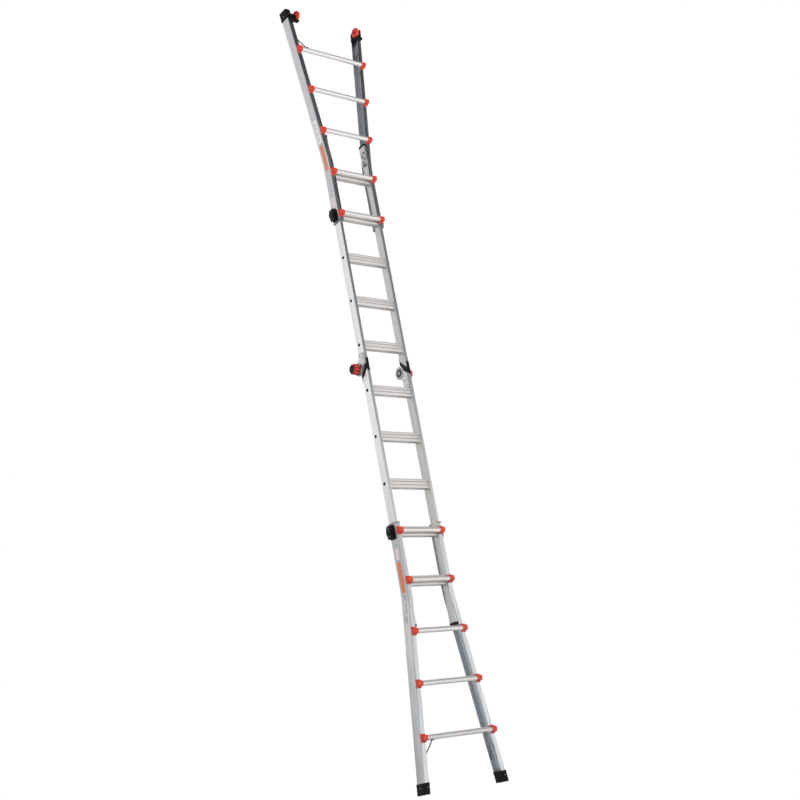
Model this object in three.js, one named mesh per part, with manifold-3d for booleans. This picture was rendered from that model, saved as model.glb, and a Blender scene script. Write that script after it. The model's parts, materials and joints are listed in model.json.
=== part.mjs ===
// Articulated telescoping ladder, set up straight as an extension ladder.
// Millimetres. +Z runs up the rails, -Y is the climbing side, X is the width. The origin is on the floor,
// midway between the two feet. The upper half is the lower half mirrored about the centre hinges.
import * as THREE from "three";
import { mergeVertices } from "three/addons/utils/BufferGeometryUtils.js";
import Module from "manifold-3d";

// Driving dimensions
const PITCH = 304.8; // rung to rung
const RUNGS = 5; // rungs in each of the four sections
const SHARED_RUNGS = 2; // rung levels where an inner section lies behind its outer section
const GAP = 0.3; // left between pieces that touch
const HINGE_Z = (2 * RUNGS - SHARED_RUNGS + 0.5) * PITCH;

// Outer rails: open channels, straight at the telescoping end and flared towards the foot
const OUTER_X = 179; // outer face of the straight stretch
const OUTER_DEPTH = 70;
const OUTER_FLANGE = 34;
const OUTER_WALL = 2.5;
const OUTER_CORNER = 5;
const OUTER_END_Z = RUNGS * PITCH + 52;
const BEND_Z = 1143;
const BEND_HALF = 60;
const FLARE_SLOPE = 0.1213;

// Inner rails: closed rectangular tubes that run inside the channels
const INNER_X = 175;
const INNER_DEPTH = 62;
const INNER_WIDTH = 22;
const INNER_WALL = 1.8;
const INNER_CORNER = 3;
const INNER_TAIL_Z = (RUNGS - SHARED_RUNGS) * PITCH + 36;
const HINGE_CUT_FRONT = 17; // how far short of the hinge axis the rail stops, at its front face
const HINGE_CUT_BACK = 77; // and at its back face

// Rungs
const OUTER_RUNG_DEPTH = 26.7;
const OUTER_RUNG_HEIGHT = 30;
const INNER_RUNG_HALF = 30;
const INNER_RUNG_DEPTH = 42;
const RUNG_WALL = 1.6;

// Hinges
const HINGE_Y = 45;
const DISC_RADIUS = 42;
const PLATE = 5.7;
const DRUM_RADIUS = 36;
const HINGE_PIN_RADIUS = 8;
const HUB_RADIUS = 22;
const KNOB_RADIUS = 32;
const KNOB_FROM = 190;
const KNOB_TO = 236;

// Rung locks
const LOCK_Z = RUNGS * PITCH;
const LOCK_Y = 5;
const LOCK_PIN_RADIUS = 6;
const LOCK_HOLE_RADIUS = 8.5; // in the inner rails
const LOCK_FRONT = -13;
const LOCK_BACK = 33;
const LOCK_HALF = 45;
const ROCKER_PIVOT_X = 194;

// Feet and wheels
const BOOT_HEIGHT = 64;
const BOOT_WALL = 3.7;
const SOLE = 8;
const WHEEL_X = 250;
const WHEEL_Y = -53;
const WHEEL_Z = 50; // from the end of the ladder
const WHEEL_RADIUS = 34;
const WHEEL_WIDTH = 18;
const AXLE_RADIUS = 5;
const ARM_FROM = WHEEL_X + WHEEL_WIDTH / 2 + 2; // the arm that carries the axle, outboard of the wheel
const ARM_TO = ARM_FROM + 8;

const wasm = await Module();
wasm.setup();

// Sideways shift of an outer rail at height z above its foot: none, a smooth bend, then a straight flare.
function flare(z) {
  if (z >= BEND_Z + BEND_HALF) return 0;
  if (z <= BEND_Z - BEND_HALF) return FLARE_SLOPE * (BEND_Z - z);
  return (FLARE_SLOPE * (BEND_Z + BEND_HALF - z) ** 2) / (4 * BEND_HALF);
}

// Points of an arc, angles in degrees, both ends included.
function arc(cx, cy, radius, from, to, steps) {
  const points = [];
  for (let i = 0; i <= steps; i++) {
    const a = THREE.MathUtils.degToRad(from + ((to - from) * i) / steps);
    points.push([cx + radius * Math.cos(a), cy + radius * Math.sin(a)]);
  }
  return points;
}

// A rectangle between two corners, with its corners rounded.
function roundedBox(x0, y0, x1, y1, radius, steps) {
  return [
    ...arc(x1 - radius, y0 + radius, radius, -90, 0, steps),
    ...arc(x1 - radius, y1 - radius, radius, 0, 90, steps),
    ...arc(x0 + radius, y1 - radius, radius, 90, 180, steps),
    ...arc(x0 + radius, y0 + radius, radius, 180, 270, steps),
  ];
}

const circle = (cx, cy, radius, sides = 20) => arc(cx, cy, radius, 0, 360 - 360 / sides, sides - 1);

const X = new THREE.Vector3(1, 0, 0);
const Y = new THREE.Vector3(0, 1, 0);
const Z = new THREE.Vector3(0, 0, 1);
const FRAMES = {
  x: new THREE.Matrix4().makeBasis(Y, Z, X), // outline in (y, z)
  y: new THREE.Matrix4().makeBasis(Z, X, Y), // outline in (z, x)
  z: new THREE.Matrix4(), // outline in (x, y)
};

// A straight prism: an outline with optional holes, run along one axis between two stations.
function prism(axis, outline, from, to, holes = [], steps = 1) {
  const shape = new THREE.Shape(outline.map(([a, b]) => new THREE.Vector2(a, b)));
  for (const hole of holes) {
    shape.holes.push(new THREE.Path(hole.map(([a, b]) => new THREE.Vector2(a, b))));
  }
  const geometry = new THREE.ExtrudeGeometry(shape, { depth: to - from, steps, bevelEnabled: false });
  return geometry.translate(0, 0, from).applyMatrix4(FRAMES[axis]);
}

// A turned piece about an axis parallel to X. The profile holds (radius, x) pairs, and it meets the axis
// or closes on itself.
function turned(profile, y, z, sides) {
  const points = profile.map(([radius, x]) => new THREE.Vector2(radius, x));
  return new THREE.LatheGeometry(points, sides).rotateZ(-Math.PI / 2).translate(0, y, z);
}

// Moves each vertex sideways by the flare at its own height.
function flared(geometry) {
  const position = geometry.getAttribute("position");
  for (let i = 0; i < position.count; i++) position.setX(i, position.getX(i) + flare(position.getZ(i)));
  return geometry;
}

function solid(geometry) {
  const bare = new THREE.BufferGeometry().setAttribute("position", geometry.getAttribute("position"));
  if (geometry.index) bare.setIndex(geometry.index);
  const merged = mergeVertices(bare, 1e-3);
  return new wasm.Manifold(
    new wasm.Mesh({
      numProp: 3,
      vertProperties: merged.attributes.position.array,
      triVerts: new Uint32Array(merged.index.array),
    }),
  );
}

function geometryOf(manifold) {
  const mesh = manifold.getMesh();
  const geometry = new THREE.BufferGeometry();
  geometry.setAttribute("position", new THREE.BufferAttribute(mesh.vertProperties, 3));
  geometry.setIndex(new THREE.BufferAttribute(mesh.triVerts, 1));
  geometry.computeVertexNormals();
  return geometry;
}

// The first geometry with the rest joined to it, then with each cutter taken away.
function built(pieces, cutters = []) {
  let whole = solid(pieces[0]);
  for (const piece of pieces.slice(1)) whole = whole.add(solid(piece));
  for (const cutter of cutters) whole = whole.subtract(solid(cutter));
  return geometryOf(whole);
}

// Each of the functions below makes one piece of the lower half, on the +X side.

function outerRail() {
  const x0 = OUTER_X - OUTER_FLANGE;
  const y = OUTER_DEPTH / 2;
  const cx = OUTER_X - OUTER_CORNER;
  const cy = y - OUTER_CORNER;
  const inside = OUTER_CORNER - OUTER_WALL;
  const outline = [
    [x0, -y],
    ...arc(cx, -cy, OUTER_CORNER, -90, 0, 3),
    ...arc(cx, cy, OUTER_CORNER, 0, 90, 3),
    [x0, y],
    [x0, y - OUTER_WALL],
    ...arc(cx, cy, inside, 90, 0, 2),
    ...arc(cx, -cy, inside, 0, -90, 2),
    [x0, -(y - OUTER_WALL)],
  ];
  const bendSteps = 5;
  const stations = [SOLE + GAP];
  for (let i = 0; i <= bendSteps; i++) stations.push(BEND_Z - BEND_HALF + (2 * BEND_HALF * i) / bendSteps);
  stations.push(OUTER_END_Z);
  const last = stations.length - 1;
  const rail = prism("z", outline, 0, last, [], last);
  const position = rail.getAttribute("position");
  for (let i = 0; i < position.count; i++) position.setZ(i, stations[Math.round(position.getZ(i))]);
  const pinHole = prism("x", circle(LOCK_Y, LOCK_Z, LOCK_PIN_RADIUS + 0.5), OUTER_X - 10, OUTER_X + 5);
  return built([flared(rail)], [pinHole]);
}

function innerRail() {
  const y = INNER_DEPTH / 2;
  const x0 = INNER_X - INNER_WIDTH;
  const outline = roundedBox(x0, -y, INNER_X, y, INNER_CORNER, 2);
  const bore = roundedBox(
    x0 + INNER_WALL,
    -y + INNER_WALL,
    INNER_X - INNER_WALL,
    y - INNER_WALL,
    INNER_CORNER - INNER_WALL,
    1,
  );
  const tube = prism("z", outline, INNER_TAIL_Z, HINGE_Z, [bore]);
  // The slanted end leaves room for the hinge disc.
  const slant = [
    [-y, HINGE_Z - HINGE_CUT_FRONT],
    [y, HINGE_Z - HINGE_CUT_BACK],
    [y + 1, HINGE_Z - HINGE_CUT_BACK],
    [y + 1, HINGE_Z + 1],
    [-y - 1, HINGE_Z + 1],
    [-y - 1, HINGE_Z - HINGE_CUT_FRONT],
  ];
  const cutters = [prism("x", slant, x0 - 1, INNER_X + 1)];
  for (let i = 0; i < RUNGS; i++) {
    const hole = circle(LOCK_Y, innerRungZ(i), LOCK_HOLE_RADIUS, 16);
    cutters.push(prism("x", hole, INNER_X - 5, INNER_X + 5));
  }
  return built([tube], cutters);
}

const outerRungZ = (i) => (i + 1) * PITCH;
const innerRungZ = (i) => (i + 1 + RUNGS - SHARED_RUNGS) * PITCH;

// A round-fronted tube fixed across the front faces of the outer rails.
function outerRung(i) {
  const back = -OUTER_DEPTH / 2 - GAP;
  const front = back - OUTER_RUNG_DEPTH;
  const half = OUTER_RUNG_HEIGHT / 2;
  const section = (inset, frontRadius, backRadius) => [
    ...arc(back - inset - backRadius, -half + inset + backRadius, backRadius, -90, 0, 1),
    ...arc(back - inset - backRadius, half - inset - backRadius, backRadius, 0, 90, 1),
    ...arc(front + inset + frontRadius, half - inset - frontRadius, frontRadius, 90, 180, 5),
    ...arc(front + inset + frontRadius, -half + inset + frontRadius, frontRadius, 180, 270, 5),
  ];
  const reach = OUTER_X - 4 + flare(outerRungZ(i));
  const tube = prism("x", section(0, 14, 3), -reach, reach, [section(RUNG_WALL, 12.4, 1.4)]);
  return tube.translate(0, 0, outerRungZ(i));
}

// A tall tube fixed between the inner rails, the same either way up, with two grooves along each side.
function innerRung(i) {
  const half = INNER_RUNG_HALF;
  const y = INNER_RUNG_DEPTH / 2;
  const floor = y - 3;
  const corner = 5;
  const side = [
    [y, 13.5],
    [floor, 11],
    [floor, 9],
    [y, 6.5],
    [y, -6.5],
    [floor, -9],
    [floor, -11],
    [y, -13.5],
  ];
  const outline = [
    ...arc(y - corner, half - corner, corner, 0, 90, 3),
    ...arc(-(y - corner), half - corner, corner, 90, 180, 3),
    ...side.map(([a, b]) => [-a, b]),
    ...arc(-(y - corner), -(half - corner), corner, 180, 270, 3),
    ...arc(y - corner, -(half - corner), corner, 270, 360, 3),
    ...side.toReversed(),
  ];
  const wide = floor - RUNG_WALL;
  const tall = half - RUNG_WALL;
  const reach = INNER_X - INNER_WIDTH - GAP;
  const tube = prism("x", outline, -reach, reach, [roundedBox(-wide, -tall, wide, tall, 3, 1)]);
  return tube.translate(0, 0, innerRungZ(i));
}

// A round strut from under the lowest rung back to the inside of the rail, with a flat tab at each end.
function brace() {
  const tab = 3;
  const underRung = outerRungZ(0) - OUTER_RUNG_HEIGHT / 2 - GAP;
  const webFace = OUTER_X - OUTER_WALL - GAP;
  const high = new THREE.Vector3(210, -OUTER_DEPTH / 2 - 13, underRung - tab / 2);
  const low = new THREE.Vector3(webFace + flare(158) - tab / 2, -8, 158);
  const along = low.clone().sub(high);
  const rod = prism("z", circle(0, 0, 4, 10), 0, along.length());
  rod.applyQuaternion(new THREE.Quaternion().setFromUnitVectors(Z, along.normalize()));
  rod.translate(...high.toArray());
  const topTab = prism("z", roundedBox(192, high.y - 9, 222, high.y + 9, 4, 2), underRung - tab, underRung);
  const lowTab = flared(prism("z", roundedBox(webFace - tab, -18, webFace, 2, 1, 1), 136, 176));
  const beyond = [
    prism("z", roundedBox(180, high.y - 12, 240, high.y + 12, 1, 1), underRung, underRung + 20),
    flared(prism("z", roundedBox(webFace, -26, webFace + 20, 10, 1, 1), 130, 182)),
  ];
  return built([rod, topTab, lowTab], beyond);
}

// A rubber boot over the end of the rail, closed underneath.
function bootPieces() {
  const x0 = OUTER_X - OUTER_FLANGE;
  const y = OUTER_DEPTH / 2;
  const wall = BOOT_WALL;
  const outline = roundedBox(x0 - wall, -y - wall, OUTER_X + wall, y + wall, 7, 3);
  const pocket = [
    [x0 - GAP, -y - GAP],
    ...arc(OUTER_X + GAP - 4, -y - GAP + 4, 4, -90, 0, 3),
    ...arc(OUTER_X + GAP - 4, y + GAP - 4, 4, 0, 90, 3),
    [x0 - GAP, y + GAP],
  ];
  return {
    boot: flared(prism("z", outline, 0, BOOT_HEIGHT)),
    pocket: flared(prism("z", pocket, SOLE, BOOT_HEIGHT + 1)),
  };
}

function foot() {
  const { boot, pocket } = bootPieces();
  return built([boot], [pocket]);
}

// The boot at the top end carries a wheel on one arm, ahead of the rail and towards the middle of the ladder.
function wheelBoot() {
  const { boot, pocket } = bootPieces();
  const bridgeZ = WHEEL_Z + WHEEL_RADIUS + 3;
  const block = prism("z", roundedBox(272, -56, 296, -37, 4, 2), 42, bridgeZ + 10);
  const bridge = prism("z", roundedBox(WHEEL_X - 10, -68, 296, -40, 4, 2), bridgeZ, bridgeZ + 10);
  const armOutline = [
    ...arc(WHEEL_Y, WHEEL_Z, 9, 180, 360, 8),
    [WHEEL_Y + 13, bridgeZ + 10],
    [WHEEL_Y - 13, bridgeZ + 10],
  ];
  const arm = prism("x", armOutline, ARM_FROM, ARM_TO);
  const axleHole = prism("x", circle(WHEEL_Y, WHEEL_Z, AXLE_RADIUS + GAP), ARM_FROM - 1, ARM_TO + 1);
  return built([boot, block, bridge, arm], [pocket, axleHole]);
}

function wheel() {
  const a = WHEEL_X - WHEEL_WIDTH / 2;
  const b = WHEEL_X + WHEEL_WIDTH / 2;
  const bore = AXLE_RADIUS + 0.2;
  const profile = [
    [bore, a],
    [11, a],
    [12, a + 4],
    [22, a + 4],
    [23, a],
    [WHEEL_RADIUS - 2, a],
    [WHEEL_RADIUS, a + 3],
    [WHEEL_RADIUS, b - 3],
    [WHEEL_RADIUS - 2, b],
    [23, b],
    [22, b - 4],
    [12, b - 4],
    [11, b],
    [bore, b],
    [bore, a],
  ];
  return turned(profile, WHEEL_Y, WHEEL_Z, 24);
}

function wheelAxle() {
  const inner = WHEEL_X - WHEEL_WIDTH / 2 - 0.5;
  const head = prism("x", circle(WHEEL_Y, WHEEL_Z, 7.5, 20), inner - 3, inner);
  const shank = prism("x", circle(WHEEL_Y, WHEEL_Z, AXLE_RADIUS, 20), inner - 1, ARM_TO - 0.5);
  return built([head, shank]);
}

// Outline of a hinge plate in (y, z) about the hinge axis, with its arm running down or up the rail.
function plateOutline(arm, up) {
  const sign = up ? 1 : -1;
  const points = [
    [-25, arm - 6],
    [-19, arm],
    [19, arm],
    [25, arm - 6],
    [25, 60],
    ...arc(HINGE_Y, 0, DISC_RADIUS, 70, -170, 20),
    [-25, 22],
  ];
  return points.map(([y, z]) => [y, HINGE_Z + sign * z]);
}

// The lower hinge half: a plate inside the rail and a drum that fills the hinge between the two plates.
function hingeLowerPlate() {
  const x0 = INNER_X - INNER_WIDTH - GAP - PLATE;
  const plate = prism("x", plateOutline(116, false), x0, x0 + PLATE);
  const drum = prism("x", circle(HINGE_Y, HINGE_Z, DRUM_RADIUS, 28), x0 + 1, INNER_X - GAP);
  const hole = prism("x", circle(HINGE_Y, HINGE_Z, HINGE_PIN_RADIUS + GAP), x0 - 1, INNER_X + 1);
  return built([plate, drum], [hole]);
}

// The upper hinge half: a plate outside the rail, with the hub that the knob slides on.
function hingeUpperPlate() {
  const x0 = INNER_X + GAP;
  const plate = prism("x", plateOutline(95, true), x0, x0 + PLATE);
  const hub = prism("x", circle(HINGE_Y, HINGE_Z, HUB_RADIUS, 24), x0 + 1, x0 + 22);
  const hole = prism("x", circle(HINGE_Y, HINGE_Z, HINGE_PIN_RADIUS + GAP), x0 - 1, x0 + 23);
  return built([plate, hub], [hole]);
}

function hingePin() {
  const x0 = INNER_X - INNER_WIDTH - PLATE - 2 * GAP;
  const head = prism("x", circle(HINGE_Y, HINGE_Z, 14, 6), x0 - 5, x0);
  const shank = prism("x", circle(HINGE_Y, HINGE_Z, HINGE_PIN_RADIUS), x0 - 1, KNOB_FROM);
  return built([head, shank]);
}

// A push knob, hollow behind, that unlocks the hinge.
function hingeKnob() {
  const cavity = HUB_RADIUS + 1.5;
  const profile = [
    [0, 214],
    [cavity, 214],
    [cavity, KNOB_FROM],
    [KNOB_RADIUS - 2, KNOB_FROM],
    [KNOB_RADIUS, KNOB_FROM + 3],
    [KNOB_RADIUS, KNOB_TO - 12],
    [KNOB_RADIUS - 3, KNOB_TO - 4],
    [KNOB_RADIUS - 7, KNOB_TO],
    [0, KNOB_TO],
  ];
  return turned(profile, HINGE_Y, HINGE_Z, 24);
}

// The base of a rung lock: a plate on the rail's outer face with an ear at each side.
function lockHousing() {
  const x0 = OUTER_X + GAP;
  const footprint = roundedBox(LOCK_FRONT, LOCK_Z - LOCK_HALF, LOCK_BACK, LOCK_Z + LOCK_HALF, 6, 2);
  const base = prism("x", footprint, x0, x0 + 4);
  const earOutline = [
    [LOCK_Z - 9, x0 + 2],
    [LOCK_Z + 9, x0 + 2],
    ...arc(LOCK_Z, ROCKER_PIVOT_X, 7, 0, 180, 6),
  ];
  const frontEar = prism("y", earOutline, LOCK_FRONT, LOCK_FRONT + 3.8);
  const backEar = prism("y", earOutline, LOCK_BACK - 3.8, LOCK_BACK);
  const pivotHole = prism("y", circle(LOCK_Z, ROCKER_PIVOT_X, 3.4, 12), LOCK_FRONT - 1, LOCK_BACK + 1);
  const pinHole = prism("x", circle(LOCK_Y, LOCK_Z, LOCK_PIN_RADIUS + 0.5), x0 - 1, x0 + 5);
  return built([base, frontEar, backEar], [pivotHole, pinHole]);
}

// The rocker: tent-shaped, thickest over its trunnions, hollow in the middle where it drives the pin.
function lockRocker() {
  const front = LOCK_FRONT + 4.3;
  const back = LOCK_BACK - 4.3;
  const outline = [
    [-42, 196],
    [-38, 193],
    [0, 187],
    [38, 193],
    [42, 196],
    [40, 202],
    [6, 211],
    [-6, 211],
    [-40, 202],
  ].map(([z, x]) => [LOCK_Z + z, x]);
  const body = prism("y", outline, front, back);
  const trunnions = prism("y", circle(LOCK_Z, ROCKER_PIVOT_X, 3, 12), LOCK_FRONT + 0.5, LOCK_BACK - 0.5);
  const room = LOCK_PIN_RADIUS + 3;
  const recess = roundedBox(LOCK_Z - room, 180, LOCK_Z + room, 203, 2, 1);
  const cavity = prism("y", recess, LOCK_Y - room, LOCK_Y + room);
  return built([body, trunnions], [cavity]);
}

// The pin stops just short of the inner rail, and slides in through its hole when the rocker is pressed.
const lockPin = () => prism("x", circle(LOCK_Y, LOCK_Z, LOCK_PIN_RADIUS), INNER_X + 2 * GAP, 188);

// Materials
function finish(color, roughness, metalness) {
  return new THREE.MeshStandardMaterial({ color, roughness, metalness });
}
const railAluminium = finish(0xc4c5c6, 0.38, 0.9);
const rungAluminium = finish(0xd2d0ce, 0.34, 0.9);
const castAluminium = finish(0xa9abad, 0.45, 0.85);
const steel = finish(0x9a9c9f, 0.3, 1);
const blackPlastic = finish(0x17181a, 0.6, 0);
const blackRubber = finish(0x141414, 0.8, 0);
const redPlastic = finish(0xd8392b, 0.45, 0);

const ladder = new THREE.Group();
const lowerHalf = new THREE.Group();
const upperHalf = new THREE.Group();
upperHalf.scale.z = -1;
upperHalf.position.z = 2 * HINGE_Z;
ladder.add(lowerHalf, upperHalf);

function place(parent, name, geometry, material) {
  const mesh = new THREE.Mesh(geometry, material);
  mesh.name = name;
  parent.add(mesh);
}

// A piece and its mirror image across the middle of the ladder.
function placePair(parent, name, geometry, material) {
  for (const side of ["left", "right"]) {
    const group = new THREE.Group();
    group.scale.x = side === "left" ? -1 : 1;
    parent.add(group);
    place(group, `${name}_${side}`, geometry, material);
  }
}

const pairs = {
  outer_rail: [outerRail(), railAluminium],
  inner_rail: [innerRail(), railAluminium],
  brace: [brace(), steel],
  lock_housing: [lockHousing(), blackPlastic],
  lock_rocker: [lockRocker(), blackPlastic],
  lock_pin: [lockPin(), steel],
};
for (const [half, group] of [["lower", lowerHalf], ["upper", upperHalf]]) {
  for (const [name, [geometry, material]] of Object.entries(pairs)) {
    placePair(group, `${half}_${name}`, geometry, material);
  }
  for (let i = 0; i < RUNGS; i++) {
    place(group, `${half}_outer_rung_${i + 1}`, outerRung(i), rungAluminium);
    place(group, `${half}_inner_rung_${i + 1}`, innerRung(i), rungAluminium);
  }
}
placePair(lowerHalf, "foot", foot(), blackRubber);
placePair(upperHalf, "wheel_boot", wheelBoot(), blackRubber);
placePair(upperHalf, "wheel", wheel(), redPlastic);
placePair(upperHalf, "wheel_axle", wheelAxle(), steel);
placePair(lowerHalf, "hinge_lower_plate", hingeLowerPlate(), castAluminium);
placePair(lowerHalf, "hinge_upper_plate", hingeUpperPlate(), castAluminium);
placePair(lowerHalf, "hinge_pin", hingePin(), steel);
placePair(lowerHalf, "hinge_knob", hingeKnob(), redPlastic);

export default ladder;
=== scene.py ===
"""The looks of an articulated aluminium ladder, set up straight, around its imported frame."""

import json
import math

import bmesh
import bpy
from mathutils import Matrix, Vector


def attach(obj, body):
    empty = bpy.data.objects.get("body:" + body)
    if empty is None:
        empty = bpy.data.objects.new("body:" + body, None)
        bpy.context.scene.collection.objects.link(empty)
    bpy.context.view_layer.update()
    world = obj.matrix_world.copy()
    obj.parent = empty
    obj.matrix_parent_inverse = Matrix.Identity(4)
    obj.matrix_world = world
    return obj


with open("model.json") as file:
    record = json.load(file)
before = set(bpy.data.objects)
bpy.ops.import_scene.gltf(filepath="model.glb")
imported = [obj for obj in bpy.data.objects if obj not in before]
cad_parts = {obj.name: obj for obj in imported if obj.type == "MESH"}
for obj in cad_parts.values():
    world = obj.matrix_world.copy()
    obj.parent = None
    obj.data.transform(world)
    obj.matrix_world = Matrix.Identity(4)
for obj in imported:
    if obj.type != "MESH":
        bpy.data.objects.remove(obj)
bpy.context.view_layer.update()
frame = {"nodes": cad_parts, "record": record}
record = frame["record"]

# Sizes shared with the frame, in millimetres
MM = 0.001
PITCH = 304.8
HINGE_Z = 8.5 * PITCH
HINGE_Y = 45
BEND_Z = 1143
BEND_HALF = 60
FLARE_SLOPE = 0.1213
OUTER_X = 179
OUTER_FLANGE = 34
OUTER_DEPTH = 70
OUTER_END_Z = 1576
INNER_X = 175
INNER_WIDTH = 22
INNER_DEPTH = 62
INNER_TAIL_Z = 950.4
LOCK_Z = 5 * PITCH
ROCKER_Y = 10
PIN_Y = 5
GROOVE_AT = 10.0
OUTER_RUNGS = [1, 2, 3, 4, 5]
INNER_RUNGS = [4, 5, 6, 7, 8]
SIDES = {"left": -1, "right": 1}


def flare(z):
    """Sideways shift of the lower outer rail at height z."""
    if z >= BEND_Z + BEND_HALF:
        return 0.0
    if z <= BEND_Z - BEND_HALF:
        return FLARE_SLOPE * (BEND_Z - z)
    return FLARE_SLOPE * (BEND_Z + BEND_HALF - z) ** 2 / (4 * BEND_HALF)


# ---------------------------------------------------------------- camera, floor and light

CAMERA_AT = Vector((-5.12272, -5.99869, -0.17014))
CAMERA_RIGHT = Vector((0.780225, -0.599836, -0.177327))
CAMERA_FORWARD = Vector((0.622953, 0.719617, 0.306726))
CAMERA_LENS = 59.33

# The studio that the metal mirrors. A band is where a tone sets in along an axis, and a darkness is its strength.
STUDIO_WHITE = (1.0, 1.0, 1.0, 1)
STUDIO_DARK = (0.020, 0.022, 0.030, 1)
FRONT_BAND = (0.10, 0.50)
UPPER_FRONT_BAND = (0.13, 0.42)
VIEWER_WAY = (-0.70, -0.71, 0.0)
VIEWER_BAND, VIEWER_DARKNESS = (0.30, 0.90), 0.35
BELOW_BAND, BELOW_DARKNESS = (-0.50, -0.10), 0.12
BACK_BAND = (0.30, 0.70)
LOW_BACK_BAND, LOW_BACK_DARKNESS = (0.10, 0.28), 0.64
OVERHEAD_BAND, OVERHEAD_DARKNESS = (0.44, 0.70), 0.80

FILL_POWER = 520.0
FILL_SIZE = 5.0
FILL_AT = Vector((-3.0, -7.0, 3.6))
FILL_AIM = Vector((0, 0, 2.4))

FLOOR_RADIUS = 1.5
FLOOR_Z = -0.0006
FLOOR_STEPS = 96
FLOOR_TONE = (0.88, 0.88, 0.88, 1)


def add_camera():
    data = bpy.data.cameras.new("camera")
    data.lens = CAMERA_LENS
    data.sensor_width = 36
    data.clip_end = 200
    camera = bpy.data.objects.new("camera", data)
    back = -CAMERA_FORWARD.normalized()
    right = (CAMERA_RIGHT - back * CAMERA_RIGHT.dot(back)).normalized()
    up = back.cross(right)
    turn = Matrix((right, up, back)).transposed().to_4x4()
    camera.matrix_world = Matrix.Translation(CAMERA_AT) @ turn
    bpy.context.scene.collection.objects.link(camera)
    bpy.context.scene.camera = camera


class Nodes:
    """A short way to write a node tree: add a node, set its values and link its inputs."""

    def __init__(self, tree):
        self.tree = tree

    def add(self, kind, inputs=None, **settings):
        node = self.tree.nodes.new(kind)
        for key, value in settings.items():
            setattr(node, key, value)
        for key, value in (inputs or {}).items():
            if isinstance(value, bpy.types.NodeSocket):
                self.tree.links.new(value, node.inputs[key])
            else:
                node.inputs[key].default_value = value
        return node

    def math(self, operation, a, b=0.0, clamp=False):
        return self.add("ShaderNodeMath", {0: a, 1: b}, operation=operation, use_clamp=clamp).outputs[0]

    def between(self, value, low, high, out_low=0.0, out_high=1.0):
        inputs = {"Value": value, "From Min": low, "From Max": high, "To Min": out_low, "To Max": out_high}
        return self.add("ShaderNodeMapRange", inputs, interpolation_type="SMOOTHSTEP").outputs[0]

    def mix(self, factor, a, b):
        node = self.add("ShaderNodeMix", data_type="RGBA")
        for socket, value in ((node.inputs[0], factor), (node.inputs[6], a), (node.inputs[7], b)):
            if isinstance(value, bpy.types.NodeSocket):
                self.tree.links.new(value, socket)
            else:
                socket.default_value = value
        return node.outputs[2]


def add_world():
    """A white studio with a dark upper front and ceiling and a grey low back. The camera itself sees plain white."""
    world = bpy.data.worlds.new("studio")
    world.use_nodes = True
    world.node_tree.nodes.clear()
    n = Nodes(world.node_tree)
    way = n.add("ShaderNodeTexCoord").outputs["Generated"]
    axes = n.add("ShaderNodeSeparateXYZ", {0: way}).outputs
    to_front = n.between(n.math("MULTIPLY", axes["Y"], -1.0), *FRONT_BAND)
    upper_front = n.math("MULTIPLY", to_front, n.between(axes["Z"], *UPPER_FRONT_BAND))
    to_viewer = n.add("ShaderNodeVectorMath", {0: way, 1: VIEWER_WAY}, operation="DOT_PRODUCT")
    viewer_side = n.between(to_viewer.outputs["Value"], *VIEWER_BAND, 0.0, VIEWER_DARKNESS)
    below = n.between(axes["Z"], *BELOW_BAND, BELOW_DARKNESS, 0.0)
    to_back = n.between(axes["Y"], *BACK_BAND)
    low_back = n.math("MULTIPLY", to_back, n.between(axes["Z"], *LOW_BACK_BAND, LOW_BACK_DARKNESS, 0.0))
    overhead = n.between(axes["Z"], *OVERHEAD_BAND, 0.0, OVERHEAD_DARKNESS)
    level = n.math("MAXIMUM", n.math("MAXIMUM", below, low_back), overhead)
    dark = n.math("MAXIMUM", n.math("MAXIMUM", upper_front, viewer_side), level)
    light = n.mix(dark, STUDIO_WHITE, STUDIO_DARK)
    seen = n.add("ShaderNodeLightPath").outputs["Is Camera Ray"]
    color = n.mix(seen, light, STUDIO_WHITE)
    background = n.add("ShaderNodeBackground", {"Color": color, "Strength": 1.0})
    output = n.add("ShaderNodeOutputWorld")
    world.node_tree.links.new(background.outputs[0], output.inputs[0])
    bpy.context.scene.world = world


def add_fill():
    """A broad soft lamp in front, for the painted share of each surface: metal doesn't mirror it."""
    data = bpy.data.lights.new("fill", "AREA")
    data.shape = "DISK"
    data.size = FILL_SIZE
    data.energy = FILL_POWER
    lamp = bpy.data.objects.new("fill", data)
    lamp.location = FILL_AT
    lamp.rotation_euler = (FILL_AIM - FILL_AT).to_track_quat("-Z", "Y").to_euler()
    lamp.visible_camera = False
    lamp.visible_glossy = False
    bpy.context.scene.collection.objects.link(lamp)


def add_floor():
    """A pale round floor that shows only from above, because the camera stands lower than the feet."""
    angles = [math.tau * i / FLOOR_STEPS for i in range(FLOOR_STEPS)]
    verts = [(FLOOR_RADIUS * math.cos(a), FLOOR_RADIUS * math.sin(a), FLOOR_Z) for a in angles]
    mesh = bpy.data.meshes.new("floor")
    mesh.from_pydata(verts, [], [list(range(FLOOR_STEPS))])
    floor = bpy.data.objects.new("floor", mesh)
    bpy.context.scene.collection.objects.link(floor)
    material = bpy.data.materials.new("pale_floor")
    material.use_nodes = True
    material.node_tree.nodes.clear()
    n = Nodes(material.node_tree)
    below = n.add("ShaderNodeNewGeometry").outputs["Backfacing"]
    pale = n.add("ShaderNodeBsdfDiffuse", {"Color": FLOOR_TONE}).outputs[0]
    clear = n.add("ShaderNodeBsdfTransparent").outputs[0]
    both = n.add("ShaderNodeMixShader", {0: below, 1: pale, 2: clear}).outputs[0]
    n.add("ShaderNodeOutputMaterial", {"Surface": both})
    mesh.materials.append(material)


# ---------------------------------------------------------------- surface effects and materials


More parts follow.
